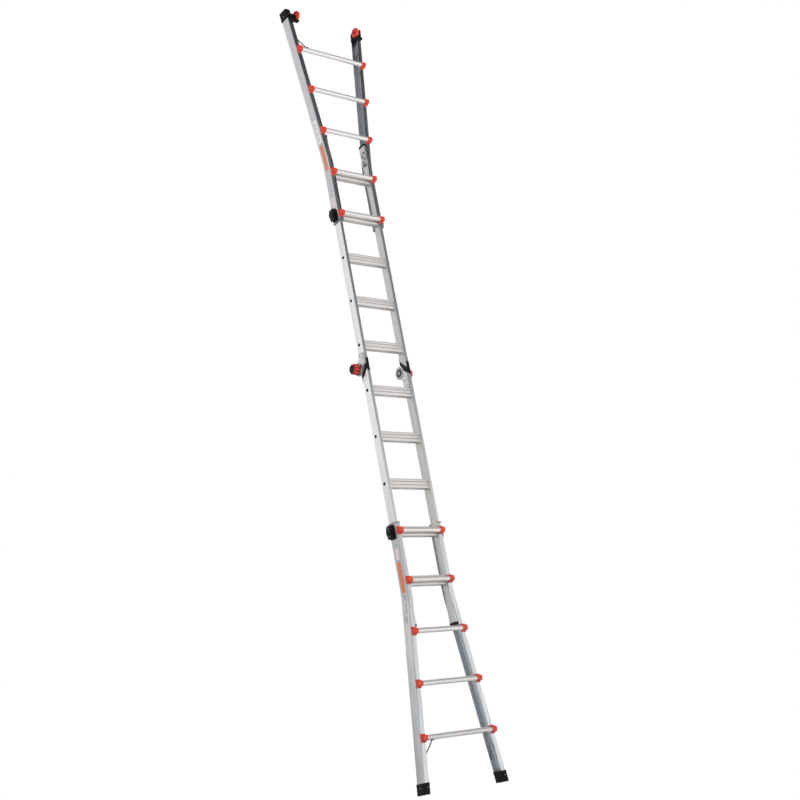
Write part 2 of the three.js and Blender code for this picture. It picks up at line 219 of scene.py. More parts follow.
def effect_group(name, sockets_in, sockets_out):
    tree = bpy.data.node_groups.new(name, "ShaderNodeTree")
    for label, kind, value in sockets_in:
        socket = tree.interface.new_socket(label, in_out="INPUT", socket_type=kind)
        socket.default_value = value
    for label, kind in sockets_out:
        tree.interface.new_socket(label, in_out="OUTPUT", socket_type=kind)
    n = Nodes(tree)
    return tree, n, n.add("NodeGroupInput").outputs, n.add("NodeGroupOutput")


def make_draw_lines():
    """Fine lines that run along an extrusion. Stretch is small on the axis that the lines follow."""
    tree, n, given, out = effect_group(
        "draw_lines",
        [("Stretch", "NodeSocketVector", (1, 1, 0.01)), ("Scale", "NodeSocketFloat", 400.0)],
        [("Lines", "NodeSocketFloat"), ("Bands", "NodeSocketFloat")],
    )
    place = n.add("ShaderNodeTexCoord").outputs["Object"]
    along = n.add("ShaderNodeVectorMath", {0: place, 1: given["Stretch"]}, operation="MULTIPLY").outputs[0]
    lines = n.add("ShaderNodeTexNoise", {"Vector": along, "Scale": given["Scale"], "Detail": 3.0}).outputs["Fac"]
    wide = n.math("MULTIPLY", given["Scale"], 0.18)
    bands = n.add("ShaderNodeTexNoise", {"Vector": along, "Scale": wide, "Detail": 2.0}).outputs["Fac"]
    tree.links.new(n.between(lines, 0.3, 0.7), out.inputs["Lines"])
    tree.links.new(n.between(bands, 0.3, 0.7), out.inputs["Bands"])
    return tree


def make_scuffs():
    """Sparse rubs and smudges, as a mask."""
    tree, n, given, out = effect_group(
        "scuffs",
        [("Scale", "NodeSocketFloat", 14.0), ("Amount", "NodeSocketFloat", 0.4)],
        [("Mask", "NodeSocketFloat")],
    )
    place = n.add("ShaderNodeTexCoord").outputs["Object"]
    coarse = n.add(
        "ShaderNodeTexNoise", {"Vector": place, "Scale": given["Scale"], "Detail": 5.0, "Roughness": 0.65}
    )
    fine = n.add("ShaderNodeTexNoise", {"Vector": place, "Scale": 160.0, "Detail": 2.0}).outputs["Fac"]
    patches = n.between(coarse.outputs["Fac"], 0.52, 0.72)
    broken = n.math("MULTIPLY", patches, n.between(fine, 0.35, 0.6))
    tree.links.new(n.math("MULTIPLY", broken, given["Amount"]), out.inputs["Mask"])
    return tree


def make_moulded_grain():
    """The fine even texture of moulded plastic and rubber, as a height."""
    tree, n, given, out = effect_group(
        "moulded_grain", [("Scale", "NodeSocketFloat", 900.0)], [("Height", "NodeSocketFloat")]
    )
    place = n.add("ShaderNodeTexCoord").outputs["Object"]
    grain = n.add("ShaderNodeTexVoronoi", {"Vector": place, "Scale": given["Scale"]}).outputs["Distance"]
    cloud = n.add("ShaderNodeTexNoise", {"Vector": place, "Scale": given["Scale"], "Detail": 2.0}).outputs["Fac"]
    tree.links.new(n.math("ADD", grain, cloud), out.inputs["Height"])
    return tree


# The colour of painted shade on the faces that look away from the ladder's middle.
WEB_SHADE_TONE = (0.20, 0.205, 0.215, 1)
# Painted shade in the rungs' grooves and on their undersides: where it sets in, in millimetres, and its strength.
GROOVE_EDGE, GROOVE_SHADE_STRENGTH = (1.5, 4.0), 0.8  # millimetres from a groove's middle, and strength
UNDERSIDE, UNDERSIDE_SHADE_STRENGTH = (-28.0, -15.0), 0.35  # millimetres from a rung's middle, and strength
DRAW_LINES = make_draw_lines()
SCUFFS = make_scuffs()
GRAIN = make_moulded_grain()


def new_material(name):
    material = bpy.data.materials.new(name)
    material.use_nodes = True
    material.node_tree.nodes.clear()
    n = Nodes(material.node_tree)
    shader = n.add("ShaderNodeBsdfPrincipled")
    n.add("ShaderNodeOutputMaterial", {"Surface": shader.outputs[0]})
    return material, n, shader


def extruded_aluminium(
    name, bright, dull, stretch, roughness, metallic, shade=None, web_painted_shade=0.0, groove_shade=None
):
    """Drawn aluminium: lines along the extrusion, soft bands of tone and a few dull rubs.

    shade is the colour of painted shade on the faces that look towards the middle of the ladder, and
    web_painted_shade is painted shade that tones down the faces that look away from it. grime is the colour of
    painted shade in the grooves and on the undersides of the rungs.
    """
    material, n, shader = new_material(name)
    drawn = n.add("ShaderNodeGroup", node_tree=DRAW_LINES)
    drawn.inputs["Stretch"].default_value = stretch
    drawn.inputs["Scale"].default_value = 420.0
    rubs = n.add("ShaderNodeGroup", node_tree=SCUFFS)
    rubs.inputs["Amount"].default_value = 0.5
    tone = n.math("MULTIPLY", drawn.outputs["Bands"], 0.55)
    tone = n.math("ADD", tone, n.math("MULTIPLY", drawn.outputs["Lines"], 0.25))
    tone = n.math("MAXIMUM", tone, rubs.outputs["Mask"])
    color = n.mix(tone, (*bright, 1), (*dull, 1))
    rough = n.between(tone, 0.0, 1.0, roughness, roughness + 0.16)
    # Painted shade: a darker colour on faces that look towards the ladder's middle, and on those that look away.
    if shade:
        inward = facing(n, -1.0)
        color = n.mix(inward, color, (*shade, 1))
        color = n.mix(n.math("MULTIPLY", facing(n, 1.0), web_painted_shade), color, WEB_SHADE_TONE)
        rough = n.math("ADD", rough, n.math("MULTIPLY", inward, 0.22))
    # Painted shade in the grooves and on the undersides of the rungs.
    if groove_shade:
        color = n.mix(groove_and_underside_shade(n), color, (*groove_shade, 1))
    n.tree.links.new(color, shader.inputs["Base Color"])
    n.tree.links.new(rough, shader.inputs["Roughness"])
    shader.inputs["Metallic"].default_value = metallic
    bump = n.add("ShaderNodeBump", {"Height": drawn.outputs["Lines"], "Strength": 0.25, "Distance": 0.00008})
    n.tree.links.new(bump.outputs[0], shader.inputs["Normal"])
    return material


def facing(n, sense):
    """1 on faces that look away from the ladder's middle plane, or with a sense of -1 towards it, 0 on the rest."""
    coords = n.add("ShaderNodeTexCoord").outputs
    side = n.math("SIGN", n.add("ShaderNodeSeparateXYZ", {0: coords["Object"]}).outputs["X"])
    across = n.add("ShaderNodeSeparateXYZ", {0: coords["Normal"]}).outputs["X"]
    return n.between(n.math("MULTIPLY", n.math("MULTIPLY", side, across), sense), 0.3, 0.7)


def groove_and_underside_shade(n):
    """A mask of painted shade in the grooves and on the undersides of the inner rungs, which stand a pitch apart."""
    place = n.add("ShaderNodeTexCoord").outputs["Object"]
    height = n.math("MULTIPLY", n.add("ShaderNodeSeparateXYZ", {0: place}).outputs["Z"], 1 / (PITCH * MM))
    level = n.math("SUBTRACT", n.math("FRACT", n.math("ADD", height, 0.5)), 0.5)
    offset = n.math("MULTIPLY", n.math("ABSOLUTE", level), PITCH)
    groove = n.between(n.math("ABSOLUTE", n.math("SUBTRACT", offset, GROOVE_AT)), *GROOVE_EDGE, GROOVE_SHADE_STRENGTH, 0.0)
    underside = n.between(n.math("MULTIPLY", level, PITCH), *UNDERSIDE, UNDERSIDE_SHADE_STRENGTH, 0.0)
    return n.math("MAXIMUM", groove, underside)


def cast_metal(name, bright, dull, roughness, metallic=0.9):
    """Cast or plated metal: cloudy tone and a faint pebble."""
    material, n, shader = new_material(name)
    rubs = n.add("ShaderNodeGroup", node_tree=SCUFFS)
    rubs.inputs["Scale"].default_value = 60.0
    rubs.inputs["Amount"].default_value = 0.9
    n.tree.links.new(n.mix(rubs.outputs["Mask"], (*bright, 1), (*dull, 1)), shader.inputs["Base Color"])
    n.tree.links.new(n.between(rubs.outputs["Mask"], 0, 1, roughness, roughness + 0.2), shader.inputs["Roughness"])
    shader.inputs["Metallic"].default_value = metallic
    grain = n.add("ShaderNodeGroup", node_tree=GRAIN)
    grain.inputs["Scale"].default_value = 700.0
    bump = n.add("ShaderNodeBump", {"Height": grain.outputs[0], "Strength": 0.15, "Distance": 0.0001})
    n.tree.links.new(bump.outputs[0], shader.inputs["Normal"])
    return material


def moulded(name, color, worn, roughness, grain_scale=900.0, strength=0.3, sheen=0.5):
    """Plastic or rubber: fine grain, with paler rubs. sheen is how strongly the surface mirrors."""
    material, n, shader = new_material(name)
    shader.inputs["Specular IOR Level"].default_value = sheen
    rubs = n.add("ShaderNodeGroup", node_tree=SCUFFS)
    rubs.inputs["Scale"].default_value = 35.0
    rubs.inputs["Amount"].default_value = 0.6
    n.tree.links.new(n.mix(rubs.outputs["Mask"], (*color, 1), (*worn, 1)), shader.inputs["Base Color"])
    n.tree.links.new(n.between(rubs.outputs["Mask"], 0, 1, roughness, roughness + 0.2), shader.inputs["Roughness"])
    grain = n.add("ShaderNodeGroup", node_tree=GRAIN)
    grain.inputs["Scale"].default_value = grain_scale
    bump = n.add("ShaderNodeBump", {"Height": grain.outputs[0], "Strength": strength, "Distance": 0.0002})
    n.tree.links.new(bump.outputs[0], shader.inputs["Normal"])
    return material


ALONG_Z = (1.0, 1.0, 0.008)
ALONG_X = (0.008, 1.0, 1.0)
LOOKS = {
    # The rails carry painted shade on the faces that look towards the ladder's middle.
    "rail_aluminium": extruded_aluminium(
        "rail_aluminium", (0.83, 0.835, 0.81), (0.72, 0.725, 0.705), ALONG_Z, 0.20, 0.97, (0.70, 0.70, 0.68)
    ),
    "rung_aluminium": extruded_aluminium(
        "rung_aluminium", (0.90, 0.865, 0.85), (0.77, 0.73, 0.715), ALONG_X, 0.28, 0.68
    ),
    "cast_aluminium": cast_metal("cast_aluminium", (0.43, 0.44, 0.46), (0.16, 0.165, 0.18), 0.36),
    "steel": cast_metal("zinc_plated_steel", (0.36, 0.36, 0.37), (0.20, 0.20, 0.21), 0.32, 1.0),
    "black_plastic": moulded("black_plastic", (0.006, 0.006, 0.0065), (0.02, 0.02, 0.02), 0.40, sheen=0.2),
    "black_rubber": moulded("black_rubber", (0.005, 0.005, 0.005), (0.015, 0.015, 0.015), 0.55, 600.0, 0.5, 0.2),
    "red_plastic": moulded("red_plastic", (0.58, 0.040, 0.021), (0.66, 0.12, 0.085), 0.38, 1200.0, 0.15),
}
# The outer rails' channels: bluish painted shade on the faces inside the channel, and painted shade on the outward
# webs.
CHANNEL = extruded_aluminium(
    "channel_aluminium", (0.76, 0.775, 0.79), (0.62, 0.64, 0.66), ALONG_Z, 0.18, 0.98, (0.66, 0.685, 0.74), 0.30
)
# The inner rungs' aluminium, with painted shade in the grooves and on the undersides.
GROOVED = extruded_aluminium(
    "grooved_aluminium", (0.90, 0.865, 0.85), (0.77, 0.73, 0.715), ALONG_X, 0.28, 0.56, groove_shade=(0.40, 0.37, 0.36)
)
# Near-black steel for the wheel axle: painted shade on the wheel's hub.
AXLE_PAINTED_SHADE = cast_metal("axle_steel_painted_shade", (0.035, 0.035, 0.037), (0.06, 0.06, 0.062), 0.5, 0.6)
HINGE_PLATE = cast_metal("pressed_plate", (0.66, 0.675, 0.69), (0.42, 0.43, 0.44), 0.34)
# A darker copy of the red plastic on the knobs' bodies: painted shade between the brighter lobes.
KNOB_PAINTED_SHADE = moulded("knob_red_painted_shade", (0.22, 0.014, 0.010), (0.40, 0.05, 0.03), 0.42, 1200.0, 0.15)


def sticker(name, color, second, scale):
    """Printed film: a flat ink with faint mottling under a satin lacquer."""
    material, n, shader = new_material(name)
    rubs = n.add("ShaderNodeGroup", node_tree=SCUFFS)
    rubs.inputs["Scale"].default_value = scale
    rubs.inputs["Amount"].default_value = 0.8
    n.tree.links.new(n.mix(rubs.outputs["Mask"], (*color, 1), (*second, 1)), shader.inputs["Base Color"])
    n.tree.links.new(n.between(rubs.outputs["Mask"], 0, 1, 0.28, 0.5), shader.inputs["Roughness"])
    shader.inputs["Coat Weight"].default_value = 0.3
    shader.inputs["Coat Roughness"].default_value = 0.2
    return material


ORANGE_FILM = sticker("orange_film", (0.70, 0.185, 0.075), (0.70, 0.32, 0.20), 40.0)
WHITE_FILM = sticker("white_film", (0.80, 0.80, 0.79), (0.66, 0.66, 0.67), 50.0)
GREY_FILM = sticker("grey_film", (0.36, 0.37, 0.39), (0.50, 0.51, 0.52), 50.0)
BLACK_FILM = sticker("black_film", (0.02, 0.02, 0.024), (0.06, 0.06, 0.06), 50.0)
# The tail label's film, painted grey as shade.
SHADED_FILM = sticker("label_painted_shade", (0.40, 0.41, 0.42), (0.22, 0.22, 0.23), 60.0)
PINK_FILM = sticker("pale_red_film", (0.74, 0.60, 0.62), (0.80, 0.76, 0.76), 50.0)

# ---------------------------------------------------------------- solids in the lower right quarter, in millimetres


def arc(cx, cy, radius, start, end, steps):
    angles = [math.radians(start + (end - start) * i / steps) for i in range(steps + 1)]
    return [(cx + radius * math.cos(a), cy + radius * math.sin(a)) for a in angles]


def rounded_box(x0, y0, x1, y1, radius, steps=3):
    return (
        arc(x1 - radius, y0 + radius, radius, -90, 0, steps)
        + arc(x1 - radius, y1 - radius, radius, 0, 90, steps)
        + arc(x0 + radius, y1 - radius, radius, 90, 180, steps)
        + arc(x0 + radius, y0 + radius, radius, 180, 270, steps)
    )


def put(axis, a, b, run):
    """A point from outline coordinates: x runs with (y, z), y runs with (z, x), z runs with (x, y)."""
    return {"x": (run, a, b), "y": (b, run, a), "z": (a, b, run)}[axis]


def prism(axis, outline, stations, shift=None):
    """A closed prism through two or more stations. shift(station) moves a ring sideways along X."""
    verts, faces = [], []
    count = len(outline)
    for run in stations:
        offset = shift(run) if shift else 0.0
        for a, b in outline:
            x, y, z = put(axis, a, b, run)
            verts.append((x + offset, y, z))
    for s in range(len(stations) - 1):
        for i in range(count):
            j = (i + 1) % count
            faces.append([s * count + i, s * count + j, (s + 1) * count + j, (s + 1) * count + i])
    faces.append(list(range(count))[::-1])
    faces.append([(len(stations) - 1) * count + i for i in range(count)])
    return verts, faces


def hollow_prism(axis, outer, inner, start, end, depth):
    """A prism with a blind pocket: outer and inner outlines have the same number of points."""
    verts, faces = [], []
    count = len(outer)
    for outline, run in ((outer, start), (outer, end), (inner, start), (inner, start + depth)):
        verts += [put(axis, a, b, run) for a, b in outline]
    for i in range(count):
        j = (i + 1) % count
        faces.append([i, j, count + j, count + i])
        faces.append([2 * count + j, 2 * count + i, 3 * count + i, 3 * count + j])
        faces.append([j, i, 2 * count + i, 2 * count + j])
    faces.append([count + i for i in range(count)])
    faces.append([3 * count + i for i in range(count)])
    return verts, faces


def turned(profile, y, z, sides=32):
    """A turned solid about an axis parallel to X. The profile holds (x, radius), from end to end."""
    verts, faces = [], []
    for x, radius in profile:
        for i in range(sides):
            a = math.tau * i / sides
            verts.append((x, y + radius * math.cos(a), z + radius * math.sin(a)))
    for s in range(len(profile) - 1):
        for i in range(sides):
            j = (i + 1) % sides
            faces.append([s * sides + i, s * sides + j, (s + 1) * sides + j, (s + 1) * sides + i])
    faces.append(list(range(sides))[::-1])
    faces.append([(len(profile) - 1) * sides + i for i in range(sides)])
    return verts, faces


def ring(profile, y, z, sides=32, outer=None):
    """A turned ring about an axis parallel to X. The profile holds (x, radius), and closes on itself.

    Where a profile radius is None, outer gives one for each side.
    """
    verts, faces = [], []
    count = len(profile)
    for i in range(sides):
        a = math.tau * i / sides
        for x, radius in profile:
            reach = outer[i] if radius is None else radius
            verts.append((x, y + reach * math.cos(a), z + reach * math.sin(a)))
    for i in range(sides):
        j = (i + 1) % sides
        for s in range(count):
            t = (s + 1) % count
            faces.append([i * count + s, j * count + s, j * count + t, i * count + t])
    return verts, faces


def joined(solids):
    verts, faces = [], []
    for more_verts, more_faces in solids:
        start = len(verts)
        verts += more_verts
        faces += [[start + i for i in face] for face in more_faces]
    return verts, faces


def soften(obj, angle=35):
    mesh = obj.data
    mesh.polygons.foreach_set("use_smooth", [True] * len(mesh.polygons))
    mesh.set_sharp_from_angle(angle=math.radians(angle))


def make_piece(name, solid, half, side, look, body, bevel=0.0):
    """A mesh object from a lower right solid, mirrored into its half and side, riding on its body."""
    verts, faces = solid
    sx = SIDES[side]
    if half == "upper":
        verts = [(x, y, 2 * HINGE_Z - z) for x, y, z in verts]
    verts = [(sx * x * MM, y * MM, z * MM) for x, y, z in verts]
    mesh = bpy.data.meshes.new(name)
    mesh.from_pydata(verts, [], faces)
    obj = bpy.data.objects.new(name, mesh)
    bpy.context.scene.collection.objects.link(obj)
    face_outwards(mesh)
    material = look if isinstance(look, bpy.types.Material) else LOOKS[look]
    mesh.materials.append(material)
    if bevel:
        modifier = obj.modifiers.new("soft_edges", "BEVEL")
        modifier.width = bevel * MM
        modifier.segments = 2
        modifier.limit_method = "ANGLE"
        modifier.angle_limit = math.radians(30)
        modifier.harden_normals = True
    soften(obj)
    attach(obj, body)
    return obj


def face_outwards(mesh):
    work = bmesh.new()
    work.from_mesh(mesh)
    bmesh.ops.recalc_face_normals(work, faces=work.faces)
    work.to_mesh(mesh)
    work.free()


def everywhere(name, solid, look, member, bevel=0.0, halves=("lower", "upper")):
    """The same piece in each half and on each side. member gives the last part of the body's name."""
    for half in halves:
        for side in SIDES:
            body = member.format(half=half, side=side)
            make_piece(f"{half}_{name}_{side}", solid, half, side, look, body, bevel)


# Rung end caps: a wide foot on the rail's front flange, and a hood round the end of the rung


CAP_BACK = -(OUTER_DEPTH / 2 + 0.4)
CAP_HALF = 24.5
CAP_WIDTH = 33
SOCKET_DEPTH = 30


def cap_outline(z):
    half = CAP_HALF
    front = CAP_BACK
    return [
        (front, z - half),
        (front - 7, z - half),
        (front - 9, z - half + 8),
        (front - 22, z - half + 8),
        (front - 29, z - 12),
        (front - 30.5, z),
        (front - 29, z + 12),
        (front - 22, z + half - 8),
        (front - 9, z + half - 8),
        (front - 7, z + half),
        (front, z + half),
        (front, z),
    ]


def rung_socket(z):
    front = CAP_BACK
    return [
        (front - 0.4, z - 15.4),
        (front - 3, z - 15.5),
        (front - 9, z - 15.5),
        (front - 18, z - 15.5),
        (front - 25.5, z - 10),
        (front - 27.2, z),
        (front - 25.5, z + 10),
        (front - 18, z + 15.5),
        (front - 9, z + 15.5),
        (front - 3, z + 15.5),
        (front - 0.4, z + 15.4),
        (front - 0.4, z),
    ]


def rung_cap(k):
    z = k * PITCH
    outer = OUTER_X + flare(z) + 1
    return hollow_prism("x", cap_outline(z), rung_socket(z), outer - CAP_WIDTH, outer, SOCKET_DEPTH)


for k in OUTER_RUNGS:
    everywhere(f"rung_cap_{k}", rung_cap(k), "red_plastic", "{half}_outer", bevel=1.6)

# Black plugs in the tails of the inner rails
tail_y = INNER_DEPTH / 2 + 0.8
tail_lip = rounded_box(INNER_X - INNER_WIDTH - 1, -tail_y, INNER_X + 0.9, tail_y, 3.5)
tail_plug = prism("z", tail_lip, [INNER_TAIL_Z - 9, INNER_TAIL_Z + 7])
everywhere("tail_plug", tail_plug, "black_plastic", "{half}_inner", 1.2)

# Black end pieces between the inner rails and the hinge, cut to the rail's slant, with a tongue down the front


def rail_end(tongue):
    out, skin = 33.6, 31.1
    outline = [
        (-out, -17 - tongue),
        (-out, -1.2),
        (-13.5, -1.2),
        (out, -46.5),
        (out, -92),
        (skin, -92),
        (skin, -77.2),
        (-skin, -17.2),
        (-skin, -17 - tongue),
    ]
    return prism("x", [(y, HINGE_Z + z) for y, z in outline], [152.9, 175.1])


everywhere("rail_end", rail_end(12), "black_plastic", "{half}_inner", 1.0, halves=("lower",))
everywhere("rail_end", rail_end(40), "black_plastic", "{half}_inner", 1.0, halves=("upper",))

# Black sleeves inside the lock holes of the inner rails: painted shade, a dark sheet where the holes' insides lie in
# shade
hole_shades = []
for k in INNER_RUNGS:
    hole_shade = [
        (164.5, 0.01), (164.5, 8.2), (174.9, 8.2), (174.9, 11), (175.5, 10.4), (175.5, 7.6), (166, 7.2), (166, 0.01),
    ]
    hole_shades.append(turned(hole_shade, PIN_Y, k * PITCH, 20))
everywhere("lock_hole_liners", joined(hole_shades), "black_plastic", "{half}_inner")

# Guides round the mouths of the outer rails
guide_z = [OUTER_END_Z - 6, OUTER_END_Z + 4]
front_guide = [(144, -37.5), (181.2, -37.5), (181.2, -20), (179.3, -20), (179.3, -35.3), (144, -35.3)]
back_guide = [(144, 37.5), (181.2, 37.5), (181.2, 20), (179.3, 20), (179.3, 35.3), (144, 35.3)]
web_guide = [(179.3, -24), (181.4, -24), (181.4, 24), (179.3, 24)]
guide = joined([prism("z", outline, guide_z) for outline in (front_guide, back_guide, web_guide)])
everywhere("rail_guide", guide, "cast_aluminium", "{half}_outer", 0.5)


# Collars of the boots at all four ends
def collar():
    outline = rounded_box(OUTER_X - OUTER_FLANGE - 5, -40, OUTER_X + 5, 40, 8)
    return prism("z", outline, [50, 63.6], flare)


everywhere("boot_collar", collar(), "black_rubber", "{half}_outer", 1.0)

# Hinge trim: black faces and cast collars on the knobs, and a scalloped ring with a washer on the inner side
dome = [(235, 25), (236.8, 24.6), (238.4, 21.5), (238.8, 16), (238.4, 12), (237.4, 11), (237.4, 0.01)]
everywhere(
    "knob_face",
    turned([(235, 0.01)] + dome, HINGE_Y, HINGE_Z, 40),
    "black_plastic", "hinge_knob_{side}", 0.4, halves=("lower",),
)
collar_ring = [
    (181.2, 33), (181.2, 40), (184.5, 39.5), (187, 38.2), (187, 36.6), (182, 36.6), (182, 33),
]
everywhere(
    "knob_collar", ring(collar_ring, HINGE_Y, HINGE_Z, 40), "cast_aluminium", "upper_inner", 0.4, halves=("lower",)
)
SCALLOPS = 10
scallop_edge = [39 if (i // 2) % 2 else 31 for i in range(4 * SCALLOPS)]
scallops = ring(
    [(146.9, 24), (146.9, None), (143.4, None), (143.4, 24)], HINGE_Y, HINGE_Z, 4 * SCALLOPS, scallop_edge
)
everywhere("hinge_ring", scallops, "cast_aluminium", "lower_inner", 0.6, halves=("lower",))
washer = [(146.9, 14.8), (146.9, 23.6), (144.6, 23.2), (144.0, 21), (144.0, 14.8)]
everywhere(
    "hinge_washer", ring(washer, HINGE_Y, HINGE_Z, 40), "black_plastic", "lower_inner", 0.3, halves=("lower",)
)


# Printed films on the webs of the outer rails
def web_film(z0, z1, y0, y1, proud=0.25):
    steps = 8
    stations = [z0 + (z1 - z0) * i / steps for i in range(steps + 1)]
    outline = [(OUTER_X, y0), (OUTER_X + proud, y0), (OUTER_X + proud, y1), (OUTER_X, y1)]
    return prism("z", outline, stations, flare)


def striped(z0, z1, y0, y1, rows, proud):
    """A block of thin bars, standing for print."""
    height = (z1 - z0) / rows
    bars = []
    for i in range(rows):
        low = z0 + height * i
        inset = 6 * ((i * 7) % 3)
        bars.append(web_film(low + height * 0.2, low + height * 0.7, y0 + inset, y1, proud))
    return joined(bars)


FILMS = [
    ("lower", "orange_film", ORANGE_FILM, web_film(1150, 1338, -17, 17)),
    ("lower", "grey_film", GREY_FILM, web_film(968, 1142, -13, 13)),
    ("lower", "grey_print", WHITE_FILM, striped(1010, 1120, -9, 9, 9, 0.4)),
    ("lower", "pale_film", PINK_FILM, web_film(1352, 1420, -15, 15)),
    ("upper", "orange_film", ORANGE_FILM, web_film(1010, 1196, -17, 17)),
    ("upper", "white_film", WHITE_FILM, web_film(832, 996, -19, 19)),
    ("upper", "white_print", GREY_FILM, striped(850, 985, -13, 13, 11, 0.4)),
    ("upper", "grey_print", GREY_FILM, striped(1262, 1390, -11, 4, 10, 0.3)),
    ("upper", "pale_film", PINK_FILM, web_film(1402, 1466, -15, 15)),
]
for half, name, look, solid in FILMS:
    for side in SIDES:
        make_piece(f"{half}_{name}_{side}", solid, half, side, look, f"{half}_outer")

# A label on the inner face of the upper right inner rail, near its tail, its film painted grey as shade
def inner_face_film(z0, z1, y0, y1, proud):
    face = INNER_X - INNER_WIDTH
    return prism("z", [(face - proud, y0), (face, y0), (face, y1), (face - proud, y1)], [z0, z1])


label = inner_face_film(992, 1112, -24, 22, 0.25)
make_piece("upper_tail_label", label, "upper", "right", SHADED_FILM, "upper_inner")
block_spots = ((998, -20), (1020, 2), (1042, -20), (1064, -2))
blocks = [inner_face_film(z, z + 15, y, y + 17, 0.45) for z, y in block_spots]
blocks.append(inner_face_film(1086, 1104, -20, 18, 0.45))
make_piece("upper_tail_print", joined(blocks), "upper", "right", BLACK_FILM, "upper_inner")

# ---------------------------------------------------------------- repeated details, by Geometry Nodes


def node_tree(name, sizes):
    tree = bpy.data.node_groups.new(name, "GeometryNodeTree")
    tree.interface.new_socket("Geometry", in_out="INPUT", socket_type="NodeSocketGeometry")
    for label, value in sizes:
        socket = tree.interface.new_socket(label, in_out="INPUT", socket_type="NodeSocketFloat")
        socket.default_value = value
    tree.interface.new_socket("Material", in_out="INPUT", socket_type="NodeSocketMaterial")
    tree.interface.new_socket("Geometry", in_out="OUTPUT", socket_type="NodeSocketGeometry")
    n = Nodes(tree)
    return tree, n, n.add("NodeGroupInput").outputs, n.add("NodeGroupOutput")


def ending(tree, n, given, out, instances):
    real = n.add("GeometryNodeRealizeInstances", {0: instances}).outputs[0]
    smooth = n.add("GeometryNodeSetShadeSmooth", {"Geometry": real}).outputs[0]
    painted = n.add("GeometryNodeSetMaterial", {"Geometry": smooth, "Material": given["Material"]}).outputs[0]
    tree.links.new(painted, out.inputs[0])


def make_rivet_tree():
    """A low domed head on each point, turned to face the way of the point's outward attribute."""
    tree, n, given, out = node_tree("rivet_heads", [("Radius", 0.003), ("Height", 0.001)])
    ball = n.add("GeometryNodeMeshUVSphere", {"Segments": 16, "Rings": 8, "Radius": 1.0}).outputs[0]
    size = n.add("ShaderNodeCombineXYZ", {"X": given["Radius"], "Y": given["Radius"], "Z": given["Height"]})
    dome = n.add("GeometryNodeTransform", {"Geometry": ball, "Scale": size.outputs[0]}).outputs[0]
    way = n.add("GeometryNodeInputNamedAttribute", {"Name": "outward"}, data_type="FLOAT_VECTOR").outputs[0]
    turn = n.add("FunctionNodeAlignRotationToVector", {"Vector": way}, axis="Z").outputs[0]
    heads = n.add("GeometryNodeInstanceOnPoints", {"Points": given["Geometry"], "Instance": dome, "Rotation": turn})
    ending(tree, n, given, out, heads.outputs[0])
    return tree


def make_rib_tree():
    """A slim round-backed rib on each point, lying along the way of the point's outward attribute."""
    tree, n, given, out = node_tree("grip_ribs", [("Radius", 0.001), ("Length", 0.1)])
    bar = n.add(
        "GeometryNodeMeshCylinder", {"Vertices": 8, "Radius": given["Radius"], "Depth": given["Length"]}
    ).outputs[0]
    way = n.add("GeometryNodeInputNamedAttribute", {"Name": "outward"}, data_type="FLOAT_VECTOR").outputs[0]
    turn = n.add("FunctionNodeAlignRotationToVector", {"Vector": way}, axis="Z").outputs[0]
    ribs = n.add("GeometryNodeInstanceOnPoints", {"Points": given["Geometry"], "Instance": bar, "Rotation": turn})
    ending(tree, n, given, out, ribs.outputs[0])
    return tree


RIVETS = make_rivet_tree()
RIBS = make_rib_tree()


def repeated(name, tree, sizes, spots, look, body, material=None):
    """Runs a tree on a set of (place, outward) spots in metres and keeps the plain mesh."""
    points = bpy.data.meshes.new(f"{name}_points")
    points.from_pydata([place for place, _ in spots], [], [])
    outward = points.attributes.new("outward", "FLOAT_VECTOR", "POINT")
    outward.data.foreach_set("vector", [c for _, way in spots for c in way])
    carrier = bpy.data.objects.new(f"{name}_points", points)
    bpy.context.scene.collection.objects.link(carrier)
    modifier = carrier.modifiers.new("repeat", "NODES")
    modifier.node_group = tree
    material = material or LOOKS[look]
    for item in tree.interface.items_tree:
        if item.in_out == "INPUT" and item.name in sizes:
            modifier[item.identifier] = sizes[item.name]
        if item.in_out == "INPUT" and item.name == "Material":
            modifier[item.identifier] = material
    ready = carrier.evaluated_get(bpy.context.evaluated_depsgraph_get())
    mesh = bpy.data.meshes.new_from_object(ready)
    mesh.name = name
    bpy.data.objects.remove(carrier)
    obj = bpy.data.objects.new(name, mesh)
    bpy.context.scene.collection.objects.link(obj)
    if not mesh.materials:
        mesh.materials.append(material)
    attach(obj, body)
    return obj


def quarter(spots, half, side):
    """Moves lower right spots, in millimetres, to a half and a side, in metres."""
    sx = SIDES[side]
    sz = 1 if half == "lower" else -1
    z0 = 0 if half == "lower" else 2 * HINGE_Z
    return [
        ((sx * x * MM, y * MM, (z0 + sz * z) * MM), (sx * ox, oy, sz * oz)) for (x, y, z), (ox, oy, oz) in spots
    ]


def both_sides(spots, half):
    return quarter(spots, half, "left") + quarter(spots, half, "right")


